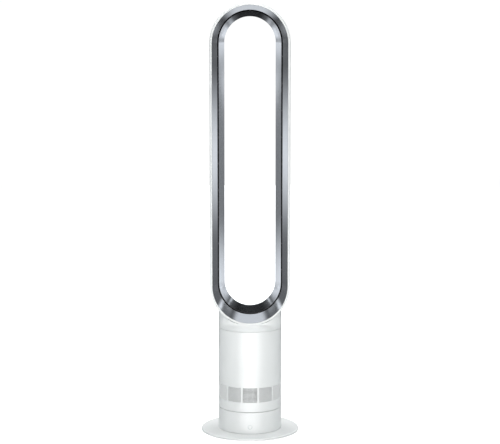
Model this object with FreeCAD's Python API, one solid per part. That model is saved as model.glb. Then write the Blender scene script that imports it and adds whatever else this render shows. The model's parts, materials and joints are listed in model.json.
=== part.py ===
"""Bladeless tower fan, 1006 mm tall, written as one STEP file per separate piece.

Frame: +Z up, the fan faces -Y, and the origin is on the floor under the middle of the base.
All sizes are in millimetres. Each node is one physical piece, or a group of identical ones.
"""
import FreeCAD
import Part

import math
import os

V = FreeCAD.Vector
X, Y, Z = V(1, 0, 0), V(0, 1, 0), V(0, 0, 1)
ORIGIN = V(0, 0, 0)

# ---------------------------------------------------------------- driving dimensions
TOTAL_H = 1006.0             # floor to the top of the loop
LOOP_H = 746.0               # loop, bottom to top
LOOP_W = 185.0               # loop, side to side
LOOP_DEPTH = 110.0           # loop, front to rear
PLATE_R = 115.0              # round base plate
BODY_R = 74.0                # outside of the cylindrical body and of the lower housing
BODY_WALL = 3.0
HOUSING_TOP = 57.5           # top rim of the lower housing, the turning seam
NECK_SEAM = 248.5            # seam between the body and the loop's collar

SEAM_GAP = 0.8               # visible gap at a seam
RUN_CLEAR = 0.05             # radial running clearance of a shaft or spindle
SLIDE_CLEAR = 0.3            # clearance round pieces that slide or turn past others
FIT_CLEAR = 0.15             # clearance of a piece that drops into its seat
SEAT_CLEAR = 0.1             # clearance of a flat face against a curved wall

# base plate
FOOT_H = 1.5                 # rubber foot ring
FOOT_R_OUT = 108.0
FOOT_R_IN = 98.0
PLATE_LIFT = 0.8             # plate's rim above the floor
PLATE_TOP = 6.5
PLATE_SKIN = 2.2
PLATE_RIM_WALL = 3.0
PLATE_EDGE_R = 3.0           # rounding of the rim's top edge
PLATE_UNDER_R = 1.2          # and of its bottom edge
BALLAST_R_IN = 32.0

# lower housing and its button
HOUSING_FLOOR = 3.0
BUTTON_Z = 23.0
BUTTON_R = 4.2
BUTTON_TRAVEL = 1.2
LIGHT_RING_R = 5.5
GLAND_Z = 17.5
GLAND_BORE_R = 3.7
GLAND_R = 5.6
GLAND_FLANGE_R = 7.4

# oscillation drive
DECK_Z = 38.0                # underside of the bearing plate
DECK_T = 3.0
SPINDLE_R = 12.0
SPINDLE_BORE_R = 9.0
SPINDLE_FOOT_R = 18.0
SPINDLE_FOOT_T = 2.0
GLIDE_R_OUT = 67.0
GLIDE_R_IN = 60.0
GLIDE_T = 3.0
GLIDE_GAP = 0.1
GEAR_MODULE = 1.25
RING_TEETH = 80
PINION_TEETH = 16
GEAR_T = 6.0
GEAR_BACKLASH = 0.18
RING_GEAR_R_OUT = 56.0
SWING_MOTOR_R = 16.0
SWING_MOTOR_H = 17.0
SWING_SHAFT_R = 2.5
TURN_T = 4.0                 # turntable plate
TURN_WALL = 3.0
TURN_WALL_TOP = 68.0
CLIP_T = 1.2

# air intake
WINDOWS = 12
WINDOW_Z0 = 81.0
WINDOW_H = 35.5
WINDOW_DEG = 27.6
GRILLE_BACK = 1.2            # depth of the grille's flange behind the shell's inside face
GRILLE_LAP = 2.0             # how far that flange reaches past the window
HOLES_ACROSS = 12
HOLE_SHARE = 0.72            # hole width as a share of the hole pitch

# blower
SHROUD_Z0 = 128.0
SHROUD_Z1 = 168.0
SHROUD_R0 = 37.0             # inside radius at the intake
SHROUD_R1 = 56.0             # inside radius at the outlet
SHROUD_WALL = 2.0
DUCT_TOP = 206.0
DUCT_WALL = 2.0
BLADES = 9
BLADE_T = 1.3
BLADE_SWEEP = 70.0           # degrees from the foot of a blade to its top
BLADE_CLEAR = 1.0
HUB_R0 = 11.0
HUB_R1 = 33.0
IMPELLER_Z0 = 131.0
IMPELLER_Z1 = 166.0
VANES = 11
VANE_T = 1.6
BUCKET_R = 34.0
BUCKET_Z0 = 170.0
BUCKET_Z1 = 214.0
BUCKET_WALL = 2.0
BUCKET_SPLIT = 196.0
MOTOR_SHAFT_R = 3.0
BEARING_R = 8.0
BEARING_H = 5.0
ROTOR_R = 13.0
AIR_GAP = 0.6
STATOR_Z0 = 180.0
STATOR_Z1 = 194.0
LEDGE_R_IN = 62.0            # ledge inside the body that carries the blower
LEDGE_T = 3.0
ISOLATOR_H = 6.0

# body top and release latch
SPIGOT_R = 69.5
SPIGOT_WALL = 3.0
SPIGOT_LEN = 15.0
SHELF_T = 3.0
SHELF_R_IN = 60.0
GASKET_T = 2.0
SEAL_R = 46.0                # inside radius of the air seal's neck
SEAL_WALL = 1.2
GUIDE_Y = 62.0               # latch guide's rear face
GUIDE_T = 2.0
LATCH_Y = 57.5               # rear face of the latch arm
LATCH_T = 3.0
HOOK_BITE = 2.3
RELEASE_Z = 222.5
RELEASE_R = 6.0
RELEASE_TRAVEL = 3.2
CATCH_W = 10.0
CATCH_H = 6.0

# loop section: r is the distance from the loop's long centre line, y runs front to rear
RIM = 5.5                    # white rim outside the front diffuser
SHELL_WALL = 2.5
DIFFUSER_IN = 12.7           # how far the front diffuser narrows
DIFFUSER_DEPTH = 53.0
REAR_BAND_IN = 12.1          # how far the rear band narrows
REAR_BAND_DEPTH = 34.0
SLOT = 1.3                   # air slot
LIP_T = 0.8                  # edge of the rear band at the slot
RING_WALL = 2.2
REAR_TURN = 14.9             # how far the rear band turns out behind its throat
NECK_WALL = 3.5
COLLAR_RISE = 12.4           # height over which the round collar becomes the loop's seat
COLLAR_SQUARE = 2.6          # squareness of that seat's outline, 2 being an ellipse
RIM_LAP = 2.8                # width of the front rim left visible above the collar
REAR_LAP = 9.0               # how far outside the rear seam the collar stops
DUCT_HALF_X = 48.0
DUCT_HALF_Y = 34.0
DUCT_CORNER = 18.0
SPACER_PITCH = 70.0

# ---------------------------------------------------------------- derived places
FRONT = -LOOP_DEPTH / 2
REAR = LOOP_DEPTH / 2
LOOP_R = LOOP_W / 2
LOOP_BOTTOM = TOTAL_H - LOOP_H
ARC_LOW = LOOP_BOTTOM + LOOP_R          # centre of the loop's lower bend
ARC_HIGH = TOTAL_H - LOOP_R             # centre of its upper bend
RIM_R = LOOP_R - RIM
SLOT_Y = FRONT + DIFFUSER_DEPTH
SLOT_R = RIM_R - DIFFUSER_IN            # diffuser surface at the slot
LIP_R = SLOT_R - SLOT - LIP_T           # visible edge of the rear band
THROAT_R = LIP_R - REAR_BAND_IN
REAR_R = THROAT_R + REAR_TURN           # where the outer shell meets the rear band
THROAT_Y = SLOT_Y + REAR_BAND_DEPTH
BODY_IN = BODY_R - BODY_WALL
BODY_BOTTOM = HOUSING_TOP + SEAM_GAP + 0.2
BODY_TOP = NECK_SEAM - SEAM_GAP / 2
NECK_BOTTOM = NECK_SEAM + SEAM_GAP / 2
HOUSING_IN_Z = PLATE_TOP + HOUSING_FLOOR
DECK_TOP = DECK_Z + DECK_T
GEAR_Z = DECK_TOP + 1.0
TURN_Z = GEAR_Z + GEAR_T                # underside of the turntable plate
TURN_TOP = TURN_Z + TURN_T
TURN_R = BODY_IN - 2 * SLIDE_CLEAR
SPIGOT_BOTTOM = NECK_BOTTOM - SPIGOT_LEN + SHELF_T
SHELF_TOP = SPIGOT_BOTTOM - GASKET_T
LEDGE_TOP = DUCT_TOP - DUCT_WALL - ISOLATOR_H
STATOR_R = BUCKET_R - BUCKET_WALL - FIT_CLEAR
COLLAR_HALF_Y = LOOP_DEPTH / 2 + 0.5


# ---------------------------------------------------------------- helpers
def cyl(r, z0, z1, x=0.0, y=0.0):
    return Part.makeCylinder(r, z1 - z0, V(x, y, z0), Z)


def tube(r_out, r_in, z0, z1, x=0.0, y=0.0):
    return cyl(r_out, z0, z1, x, y).cut(cyl(r_in, z0 - 1, z1 + 1, x, y))


def rod_y(r, y0, y1, x, z):
    return Part.makeCylinder(r, y1 - y0, V(x, y0, z), Y)


def box(x0, x1, y0, y1, z0, z1):
    return Part.makeBox(x1 - x0, y1 - y0, z1 - z0, V(x0, y0, z0))


def edges_of(path):
    """Edges through points; an item of two extra points is a cubic curve's handles."""
    edges, here = [], path[0]
    for item in path[1:]:
        if isinstance(item, list):
            curve = Part.BezierCurve()
            curve.setPoles([here, item[0], item[1], item[2]])
            edges.append(curve.toShape())
            here = item[2]
        else:
            edges.append(Part.LineSegment(here, item).toShape())
            here = item
    if (here - path[0]).Length > 1e-6:
        edges.append(Part.LineSegment(here, path[0]).toShape())
    return edges


def face_of(path):
    return Part.Face(Part.Wire(edges_of(path)))


def revolved(points):
    """A solid turned about Z from points (r, z)."""
    return face_of([V(r, 0, z) for r, z in points]).revolve(ORIGIN, Z, 360)


def one_solid(shape):
    shape = shape.removeSplitter()
    return shape.Solids[0] if len(shape.Solids) == 1 else shape


def fused(*shapes):
    return one_solid(shapes[0].multiFuse(list(shapes[1:])))


def cut_all(shape, *tools):
    for tool in tools:
        shape = shape.cut(tool)
    return one_solid(shape)


def spun(shape, count, first=0.0):
    """Copies of a shape, spaced evenly about Z."""
    copies = []
    for i in range(count):
        copy = shape.copy()
        copy.rotate(ORIGIN, Z, first + 360.0 * i / count)
        copies.append(copy)
    return copies


def group(shapes):
    return Part.makeCompound(list(shapes))


def around(radius, count, first=0.0):
    """Points (x, y) on a circle."""
    angles = [math.radians(first + 360.0 * i / count) for i in range(count)]
    return [(radius * math.cos(a), radius * math.sin(a)) for a in angles]


def screw(x, y, z_head, length, up=True, r=1.5, head_r=3.0, head_t=1.8):
    """A pan head screw whose head starts at z_head; up says that its shank points up."""
    way = 1 if up else -1
    head = Part.makeCylinder(head_r, head_t, V(x, y, z_head), Z * way)
    socket = Part.makeCylinder(head_r * 0.42, head_t * 0.6, V(x, y, z_head), Z * way)
    shank = Part.makeCylinder(r, length + 0.01, V(x, y, z_head + way * (head_t - 0.01)), Z * way)
    return fused(head, shank).cut(socket)


def loop_ring(path):
    """A closed ring: the section (r, y) carried round the loop's two sides and two bends."""
    face = face_of(path)
    side = face.translated(V(0, 0, ARC_LOW)).extrude(V(0, 0, ARC_HIGH - ARC_LOW))
    other = side.mirror(ORIGIN, X)
    low = face.translated(V(0, 0, ARC_LOW)).revolve(V(0, 0, ARC_LOW), Y, 180)
    high = face.translated(V(0, 0, ARC_HIGH)).revolve(V(0, 0, ARC_HIGH), -Y, 180)
    return fused(side, other, low, high)


def bend_solid(path):
    """A solid of revolution about the axis of the loop's lower bend, from (radius, y)."""
    return face_of(path).translated(V(0, 0, ARC_LOW)).revolve(V(0, 0, ARC_LOW), Y, 360)


def duct_prism(z0, z1, grow=0.0):
    """The rounded opening that carries air from the collar into the loop."""
    hx, hy, c = DUCT_HALF_X + grow, DUCT_HALF_Y + grow, DUCT_CORNER + grow
    prism = box(-hx, hx, -hy, hy, z0, z1)
    upright = [e for e in prism.Edges if abs(e.tangentAt(e.FirstParameter).z) > 0.99]
    return prism.makeFillet(c, upright)


# ---------------------------------------------------------------- base plate
def base_plate():
    plate = revolved([
        (0, PLATE_TOP - PLATE_SKIN), (0, PLATE_TOP), (PLATE_R, PLATE_TOP),
        (PLATE_R, PLATE_LIFT), (PLATE_R - PLATE_RIM_WALL, PLATE_LIFT),
        (PLATE_R - PLATE_RIM_WALL, PLATE_TOP - PLATE_SKIN),
    ])
    rim = [e for e in plate.Edges if abs(e.Length - 2 * math.pi * PLATE_R) < 0.1]
    upper = [e for e in rim if e.BoundBox.ZMin > (PLATE_LIFT + PLATE_TOP) / 2]
    plate = plate.makeFillet(PLATE_EDGE_R, upper)
    rim = [e for e in plate.Edges if abs(e.Length - 2 * math.pi * PLATE_R) < 0.1]
    plate = plate.makeFillet(PLATE_UNDER_R, [e for e in rim if e.BoundBox.ZMax < PLATE_LIFT + 0.1])
    for x, y in PLATE_SCREW_XY:
        plate = plate.cut(cyl(SCREW_HOLE_R, 0, PLATE_TOP + 1, x, y))
    return one_solid(plate)


SCREW_HOLE_R = 1.8
SCREW_PILOT_R = 1.5
PLATE_SCREW_XY = around(50.0, 4, 45.0)
BOSS_R = 4.5


def ballast_ring():
    return tube(PLATE_R - PLATE_RIM_WALL - FIT_CLEAR, BALLAST_R_IN, FOOT_H,
                PLATE_TOP - PLATE_SKIN).cut(
        group([cyl(HEAD_ROOM_R, 0, PLATE_TOP, x, y) for x, y in PLATE_SCREW_XY]))


HEAD_ROOM_R = 4.2


def foot_ring():
    ring = tube(FOOT_R_OUT, FOOT_R_IN, 0, FOOT_H)
    low = [e for e in ring.Edges if abs(e.BoundBox.ZMax) < 1e-6 and e.Length > 1]
    return ring.makeFillet(0.4, low)


def base_screws():
    z_head = PLATE_TOP - PLATE_SKIN - 1.8
    return group([screw(x, y, z_head, 9.0) for x, y in PLATE_SCREW_XY])


# ---------------------------------------------------------------- lower housing
def base_housing():
    wall = revolved([
        (0, PLATE_TOP), (BODY_R - 0.6, PLATE_TOP), (BODY_R, PLATE_TOP + 0.6),
        (BODY_R, HOUSING_TOP - 0.6), (BODY_R - 0.6, HOUSING_TOP), (BODY_IN, HOUSING_TOP),
        (BODY_IN, HOUSING_IN_Z), (0, HOUSING_IN_Z),
    ])
    bosses = [cyl(BOSS_R, HOUSING_IN_Z - 0.5, HOUSING_IN_Z + 6, x, y) for x, y in PLATE_SCREW_XY]
    posts = [cyl(BOSS_R, HOUSING_IN_Z - 0.5, DECK_Z, x, y) for x, y in DECK_SCREW_XY]
    shell = fused(wall, *bosses, *posts)
    holes = [cyl(SCREW_PILOT_R, PLATE_TOP - 1, PLATE_TOP + 8, x, y) for x, y in PLATE_SCREW_XY]
    holes += [cyl(SCREW_PILOT_R, DECK_Z - 9, DECK_Z + 1, x, y) for x, y in DECK_SCREW_XY]
    holes.append(rod_y(LIGHT_RING_R, -BODY_R - 5, -BODY_IN + 5, 0, BUTTON_Z))
    holes.append(rod_y(GLAND_R, BODY_IN - 5, BODY_R + 5, 0, GLAND_Z))
    return cut_all(shell, *holes)


DECK_SCREW_XY = around(63.0, 3, 75.0)


def light_ring():
    """Translucent ring set flush in the housing round the power button."""
    depth = BODY_R - 0.2
    ring = rod_y(LIGHT_RING_R, -depth, -BODY_IN + 1.5, 0, BUTTON_Z)
    return ring.cut(rod_y(BUTTON_R + SLIDE_CLEAR, -BODY_R - 1, -BODY_IN + 4, 0, BUTTON_Z))


def power_button():
    cap = rod_y(BUTTON_R, -BODY_R - 0.2, -BODY_IN + 1.5, 0, BUTTON_Z)
    front = [e for e in cap.Edges if abs(e.BoundBox.YMax - (-BODY_R - 0.2)) < 1e-3]
    cap = cap.makeFillet(0.6, front)
    collar = rod_y(BUTTON_R + 1.6, -BODY_IN + 1.5 + SLIDE_CLEAR / 2, -BODY_IN + 3.0, 0, BUTTON_Z)
    neck = rod_y(BUTTON_R - 0.5, -BODY_IN + 1.4, -BODY_IN + 3.0, 0, BUTTON_Z)
    stem = rod_y(1.4, -BODY_IN + 2.9, SWITCH_Y - BUTTON_TRAVEL - SLIDE_CLEAR, 0, BUTTON_Z)
    return fused(cap, collar, neck, stem)


CONTROL_Y = -58.0            # front face of the upright control board
SWITCH_Y = CONTROL_Y - 3.0
SPRING_WIRE_R = 0.3


def helix_spring(r, y0, y1, x, z, turns, wire_r):
    """A compression spring along Y, its wire swept along a helix."""
    helix = Part.makeHelix((y1 - y0) / turns, y1 - y0, r)
    start = V(r, 0, 0)
    section = Part.Wire(Part.makeCircle(wire_r, start, V(0, 1, 0)))
    spring = Part.Wire(helix).makePipeShell([section], True, True)
    spring.rotate(ORIGIN, X, -90)
    spring.translate(V(x, y0, z))
    return spring


def button_spring():
    y0 = -BODY_IN + 3.0 + SPRING_WIRE_R
    y1 = SWITCH_Y + 0.0 - SPRING_WIRE_R
    return helix_spring(3.0, y0, y1, 0, BUTTON_Z, 4, SPRING_WIRE_R)


def button_switch():
    body = box(-4.5, 4.5, SWITCH_Y, CONTROL_Y, BUTTON_Z - 4.5, BUTTON_Z + 4.5)
    return body


def control_board():
    return box(-24, 24, CONTROL_Y, CONTROL_Y + 1.6, HOUSING_IN_Z, DECK_Z - 1.5)


def display_module():
    return box(8, 22, CONTROL_Y - 4.0, CONTROL_Y, BUTTON_Z - 5, BUTTON_Z + 10)


def ir_receiver():
    base = box(-19, -13, CONTROL_Y - 2.5, CONTROL_Y, BUTTON_Z - 4, BUTTON_Z + 4)
    dome = Part.makeSphere(2.4, V(-16, CONTROL_Y - 2.5, BUTTON_Z))
    front = box(-30, 0, CONTROL_Y - 8, CONTROL_Y - 2.4, 0, 60)
    return fused(base, dome.common(front))


def cable_gland():
    barrel = rod_y(GLAND_R, BODY_R - BODY_WALL - 4, BODY_R + 3, 0, GLAND_Z)
    flange = rod_y(GLAND_FLANGE_R, BODY_R + 0.1, BODY_R + 2, 0, GLAND_Z)
    barb = rod_y(GLAND_FLANGE_R - 0.8, BODY_IN - 4, BODY_IN - 1.2, 0, GLAND_Z)
    gland = fused(barrel, flange, barb)
    return one_solid(gland.cut(rod_y(GLAND_BORE_R, BODY_IN - 10, BODY_R + 10, 0, GLAND_Z)))


def power_board():
    board = box(-52, 14, -36, 46, 14.0, 15.6)
    for x, y in BOARD_POST_XY:
        board = board.cut(cyl(1.6, 10, 20, x, y))
    for x, y in PLATE_SCREW_XY:
        board = board.cut(cyl(BOSS_R + 1.5, 10, 20, x, y))
    return one_solid(board)


BOARD_POST_XY = [(-46, -8), (-46, 12), (8, -30), (8, 24)]


def board_posts():
    """Nylon posts that carry the power board on the housing floor."""
    posts = []
    for x, y in BOARD_POST_XY:
        post = cyl(3.0, HOUSING_IN_Z, 14.0, x, y)
        pin = cyl(1.5, 13.9, 17.2, x, y)
        posts.append(fused(post, pin))
    return group(posts)


def board_components():
    """The tall pieces on the power board: transformer, capacitors, fuse, choke, heat sink."""
    z = 15.6
    return group([
        box(-40, -18, -28, -6, z, z + 17),
        cyl(8.0, z, z + 18, -6, 28),
        cyl(5.0, z, z + 15, -26, 32),
        cyl(5.0, z, z + 15, -38, 24),
        box(-12, 8, -16, -12, z, z + 15),
        box(-36, -16, 8, 14, z, z + 9),
        cyl(7.5, z, z + 9, 2, 8),
    ])


# ---------------------------------------------------------------- oscillation drive
def tooth_points(teeth, tip_r, root_r, thin):
    """The outline of an involute gear with a tooth centred on +X, thinned by a backlash."""
    pitch_r = GEAR_MODULE * teeth / 2
    base_r = pitch_r * math.cos(math.radians(20))

    def involute(r):
        a = math.acos(min(1.0, base_r / r))
        return math.tan(a) - a

    half = math.pi / (2 * teeth) - thin / (2 * pitch_r) + involute(pitch_r)
    low = max(root_r, base_r)
    radii = [low + (tip_r - low) * k / 6 for k in range(7)]
    flank = [(r, half - involute(r)) for r in radii]
    if root_r < low:
        flank = [(root_r, half)] + flank
    points = []
    for n in range(teeth):
        mid = 2 * math.pi * n / teeth
        points += [(r, mid - a) for r, a in flank] + [(r, mid + a) for r, a in reversed(flank)]
    return [V(r * math.cos(a), r * math.sin(a), 0) for r, a in points]


def gear_blank(points, z0, z1):
    wire = Part.makePolygon(points + [points[0]])
    return Part.Face(wire).translated(V(0, 0, z0)).extrude(V(0, 0, z1 - z0))


RING_PITCH_R = GEAR_MODULE * RING_TEETH / 2
PINION_PITCH_R = GEAR_MODULE * PINION_TEETH / 2
PINION_X = RING_PITCH_R - PINION_PITCH_R


def bearing_plate():
    plate = cyl(BODY_IN - FIT_CLEAR, DECK_Z, DECK_TOP)
    holes = [cyl(SPINDLE_BORE_R, 0, 90), cyl(SWING_SHAFT_R + 1.5, 0, 90, PINION_X, 0)]
    holes += [cyl(SCREW_HOLE_R, 0, 90, x, y) for x, y in DECK_SCREW_XY]
    holes += [cyl(SCREW_PILOT_R, 0, 90, x, y) for x, y in SPINDLE_SCREW_XY + SWING_SCREW_XY]
    counter = [cyl(3.2, DECK_TOP - 1.9, 90, x, y) for x, y in DECK_SCREW_XY]
    return cut_all(plate, *holes, *counter)


SPINDLE_SCREW_XY = around(15.0, 3, 30.0)
SWING_SCREW_XY = [(PINION_X, 20.5), (PINION_X, -20.5)]
SMALL_SCREW_R = 1.5


def deck_screws():
    return group([screw(x, y, DECK_TOP - 0.1, 7.0, up=False) for x, y in DECK_SCREW_XY])


def pivot_spindle():
    spindle = revolved([
        (SPINDLE_BORE_R, DECK_TOP), (SPINDLE_FOOT_R, DECK_TOP),
        (SPINDLE_FOOT_R, DECK_TOP + SPINDLE_FOOT_T), (SPINDLE_R, DECK_TOP + SPINDLE_FOOT_T),
        (SPINDLE_R, CLIP_Z - FIT_CLEAR), (SPINDLE_R - 1.2, CLIP_Z - FIT_CLEAR),
        (SPINDLE_R - 1.2, CLIP_Z + CLIP_T + FIT_CLEAR), (SPINDLE_R, CLIP_Z + CLIP_T + FIT_CLEAR),
        (SPINDLE_R - 0.6, CLIP_Z + CLIP_T + 2.5), (SPINDLE_BORE_R, CLIP_Z + CLIP_T + 2.5),
    ])
    return cut_all(spindle, *[cyl(SCREW_HOLE_R, 0, 90, x, y) for x, y in SPINDLE_SCREW_XY])


CLIP_Z = TURN_TOP + 1.0


def spindle_screws():
    top = DECK_TOP + SPINDLE_FOOT_T + 1.4
    return group([screw(x, y, top, 4.5, up=False, head_r=2.3, head_t=1.4)
                  for x, y in SPINDLE_SCREW_XY])


def spindle_clip():
    ring = tube(SPINDLE_R + 3.5, SPINDLE_R - 1.2 + FIT_CLEAR, CLIP_Z, CLIP_Z + CLIP_T)
    return one_solid(ring.cut(box(-3.5, 3.5, 0, 30, CLIP_Z - 1, CLIP_Z + 3)))


def glide_ring():
    """Low-friction ring that carries the turning body's weight."""
    ring = tube(GLIDE_R_OUT, GLIDE_R_IN, DECK_TOP, DECK_TOP + GLIDE_T)
    for x, y in DECK_SCREW_XY:
        ring = ring.cut(cyl(4.2, DECK_TOP - 1, DECK_TOP + 1.5, x, y))
    return one_solid(ring)


def oscillation_motor():
    """Geared motor under the bearing plate; its output shaft belongs to the pinion."""
    can = cyl(SWING_MOTOR_R, DECK_Z - SWING_MOTOR_H, DECK_Z, PINION_X, 0)
    ears = box(PINION_X - 3.6, PINION_X + 3.6, -24, 24, DECK_Z - 1.0, DECK_Z)
    holes = [cyl(SCREW_HOLE_R, 0, 90, x, y) for x, y in SWING_SCREW_XY]
    shaft_hole = cyl(SWING_SHAFT_R + RUN_CLEAR, DECK_Z - 6.0, 90, PINION_X, 0)
    return cut_all(fused(can, ears), shaft_hole, *holes)


def oscillation_motor_screws():
    z_head = DECK_Z - 1.0 - 1.4
    return group([screw(x, y, z_head, 3.0, head_r=2.6, head_t=1.4) for x, y in SWING_SCREW_XY])


def drive_pinion():
    """Pinion with the motor's output shaft pressed into it."""
    tip = PINION_PITCH_R + 0.9 * GEAR_MODULE
    root = PINION_PITCH_R - 1.2 * GEAR_MODULE
    points = tooth_points(PINION_TEETH, tip, root, GEAR_BACKLASH)
    gear = gear_blank(points, GEAR_Z + 0.4, GEAR_Z + GEAR_T - 0.4)
    gear.translate(V(PINION_X, 0, 0))
    hub = cyl(5.0, GEAR_Z + GEAR_T - 0.5, TURN_Z - SLIDE_CLEAR, PINION_X, 0)
    shaft = cyl(SWING_SHAFT_R, DECK_Z - 5.0, GEAR_Z + 0.5, PINION_X, 0)
    return fused(gear, hub, shaft)


def ring_gear():
    """Internal gear fixed under the turntable."""
    tip = RING_PITCH_R + 1.2 * GEAR_MODULE
    root = RING_PITCH_R - 0.75 * GEAR_MODULE
    points = tooth_points(RING_TEETH, tip, root, -GEAR_BACKLASH)
    gap = gear_blank(points, GEAR_Z - 1, TURN_Z + 1)
    return one_solid(cyl(RING_GEAR_R_OUT, GEAR_Z, TURN_Z).cut(gap))


def turntable():
    """Cup that turns on the spindle and carries the body."""
    glide_top = DECK_TOP + GLIDE_T + GLIDE_GAP
    cup = revolved([
        (SPINDLE_R + RUN_CLEAR, TURN_Z), (GLIDE_R_IN, TURN_Z), (GLIDE_R_IN, glide_top),
        (TURN_R, glide_top), (TURN_R, TURN_WALL_TOP), (TURN_R - TURN_WALL, TURN_WALL_TOP),
        (TURN_R - TURN_WALL, TURN_TOP), (SPINDLE_R + RUN_CLEAR, TURN_TOP),
    ])
    cup = cup.cut(tube(TURN_R + 1, GLIDE_R_OUT + 0.5, DECK_TOP, DECK_TOP + GLIDE_T + 1.5))
    return cut_all(cup, *[radial_hole(BODY_R + 5, a, BODY_SCREW_Z, 1.3) for a in BODY_SCREW_DEG])


BODY_SCREW_Z = 61.0
BODY_SCREW_DEG = (60, 180, 300)


def radial_hole(reach, angle, z, r, start=55.0):
    rod = Part.makeCylinder(r, reach - start, V(start, 0, z), X)
    rod.rotate(ORIGIN, Z, angle + 30)
    return rod


# ---------------------------------------------------------------- body shell and intake
def window_sector(r_in, r_out, z0, z1, deg):
    """A sector of a tube whose sides stand parallel to its middle, as a sliding mould cuts it."""
    half = r_out_half_width(deg)
    block = box(-half, half, -r_out - 5, -r_in + 12, z0, z1)
    return tube(r_out, r_in, z0, z1).common(block)


def r_out_half_width(deg):
    return BODY_R * math.sin(math.radians(deg / 2))


def body_shell():
    shell = revolved([
        (BODY_IN, BODY_BOTTOM), (BODY_R - 0.5, BODY_BOTTOM), (BODY_R, BODY_BOTTOM + 0.5),
        (BODY_R, BODY_TOP - 0.5), (BODY_R - 0.5, BODY_TOP), (BODY_IN, BODY_TOP),
    ])
    ledge = tube(BODY_IN + 0.5, LEDGE_R_IN, LEDGE_TOP - LEDGE_T, LEDGE_TOP)
    shell = fused(shell, ledge)
    half = r_out_half_width(WINDOW_DEG)
    window = box(-half, half, -BODY_R - 5, -BODY_IN + 8, WINDOW_Z0, WINDOW_Z0 + WINDOW_H)
    shell = shell.cut(group(spun(window, WINDOWS)))
    pilots = [radial_hole(BODY_R - 1.0, a, BODY_SCREW_Z, 1.2) for a in BODY_SCREW_DEG]
    shell = shell.cut(group(pilots))
    shell = shell.cut(rod_y(RELEASE_R + SLIDE_CLEAR, BODY_IN - 5, BODY_R + 5, 0, RELEASE_Z))
    recess = rod_y(RELEASE_R + 2.2, BODY_R - 0.9, BODY_R + 5, 0, RELEASE_Z)
    return one_solid(shell.cut(recess))


def intake_panel():
    """One perforated panel: its face is flush with the shell, its flange sits behind it."""
    half = r_out_half_width(WINDOW_DEG) - FIT_CLEAR
    z0, z1 = WINDOW_Z0 + FIT_CLEAR, WINDOW_Z0 + WINDOW_H - FIT_CLEAR
    back = BODY_IN - GRILLE_BACK
    face = tube(BODY_R, back, z0, z1).common(box(-half, half, -BODY_R - 5, 0, z0, z1))
    flange_half = half + GRILLE_LAP
    flange = tube(BODY_IN, back, z0 - GRILLE_LAP, z1 + GRILLE_LAP).common(
        box(-flange_half, flange_half, -BODY_R - 5, 0, z0 - GRILLE_LAP, z1 + GRILLE_LAP))
    panel = fused(face, flange)
    across, high = 2 * half, z1 - z0
    pitch_x, pitch_z = across / (HOLES_ACROSS + 0.3), high / (HOLES_ACROSS + 0.3)
    size_x, size_z = pitch_x * HOLE_SHARE, pitch_z * HOLE_SHARE
    holes = []
    for i in range(HOLES_ACROSS):
        for k in range(HOLES_ACROSS):
            cx = (i - (HOLES_ACROSS - 1) / 2) * pitch_x
            cz = (z0 + z1) / 2 + (k - (HOLES_ACROSS - 1) / 2) * pitch_z
            holes.append(box(cx - size_x / 2, cx + size_x / 2, -BODY_R - 3, -BODY_IN + 9,
                             cz - size_z / 2, cz + size_z / 2))
    return one_solid(panel.cut(group(holes)))


def intake_grilles():
    return group(spun(intake_panel(), WINDOWS))


# ---------------------------------------------------------------- blower
def shroud_r(z):
    return SHROUD_R0 + (SHROUD_R1 - SHROUD_R0) * (z - SHROUD_Z0) / (SHROUD_Z1 - SHROUD_Z0)


def impeller_housing():
    """Conical shroud, straight duct, guide vanes and the flange that the blower hangs by."""
    t = SHROUD_WALL
    flange_r = BODY_IN - 1.5
    skin = revolved([
        (SHROUD_R0, SHROUD_Z0), (SHROUD_R0 + 6, SHROUD_Z0 - 3), (SHROUD_R0 + 6, SHROUD_Z0),
        (SHROUD_R0 + t, SHROUD_Z0 + 2), (SHROUD_R1 + t, SHROUD_Z1),
        (SHROUD_R1 + t, DUCT_TOP - DUCT_WALL), (flange_r, DUCT_TOP - DUCT_WALL),
        (flange_r, DUCT_TOP), (SHROUD_R1, DUCT_TOP), (SHROUD_R1, SHROUD_Z1),
    ])
    mid = (BUCKET_R + SHROUD_R1) / 2
    vane = box(BUCKET_R + FIT_CLEAR, SHROUD_R1 + t / 2, -VANE_T / 2, VANE_T / 2,
               SHROUD_Z1 + 6, DUCT_TOP - 4)
    vane.rotate(V(mid, 0, 0), X, 14)
    vane = vane.cut(cyl(BUCKET_R + FIT_CLEAR, 0, 300)).common(cyl(SHROUD_R1 + t / 2, 0, 300))
    return fused(skin, *spun(vane, VANES, 8.0))


def rubber_mount():
    """Soft ring between the body's ledge and the blower's flange."""
    return tube(BODY_IN - 2.0, LEDGE_R_IN + 0.5, LEDGE_TOP, LEDGE_TOP + ISOLATOR_H)


def bearing_seat(z0, z1, floor_z0, floor_z1):
    """A floor across the bucket with a bearing's seat standing on it."""
    seat = tube(BEARING_R + 2.2, BEARING_R, z0, z1)
    floor = tube(BUCKET_R, MOTOR_SHAFT_R + 1.0, floor_z0, floor_z1)
    return seat, floor


BEARING_LOW_Z = BUCKET_Z0 + BUCKET_WALL
BEARING_HIGH_Z = BUCKET_Z1 - 12.0


def motor_bucket_lower():
    wall = tube(BUCKET_R, BUCKET_R - BUCKET_WALL, BUCKET_Z0, BUCKET_SPLIT)
    seat, floor = bearing_seat(BEARING_LOW_Z - 0.1, BEARING_LOW_Z + BEARING_H,
                               BUCKET_Z0, BUCKET_Z0 + BUCKET_WALL)
    ledge = tube(BUCKET_R - BUCKET_WALL + 0.5, STATOR_R - 3, STATOR_Z0 - 2, STATOR_Z0)
    return fused(wall, floor, seat, ledge)


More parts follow.
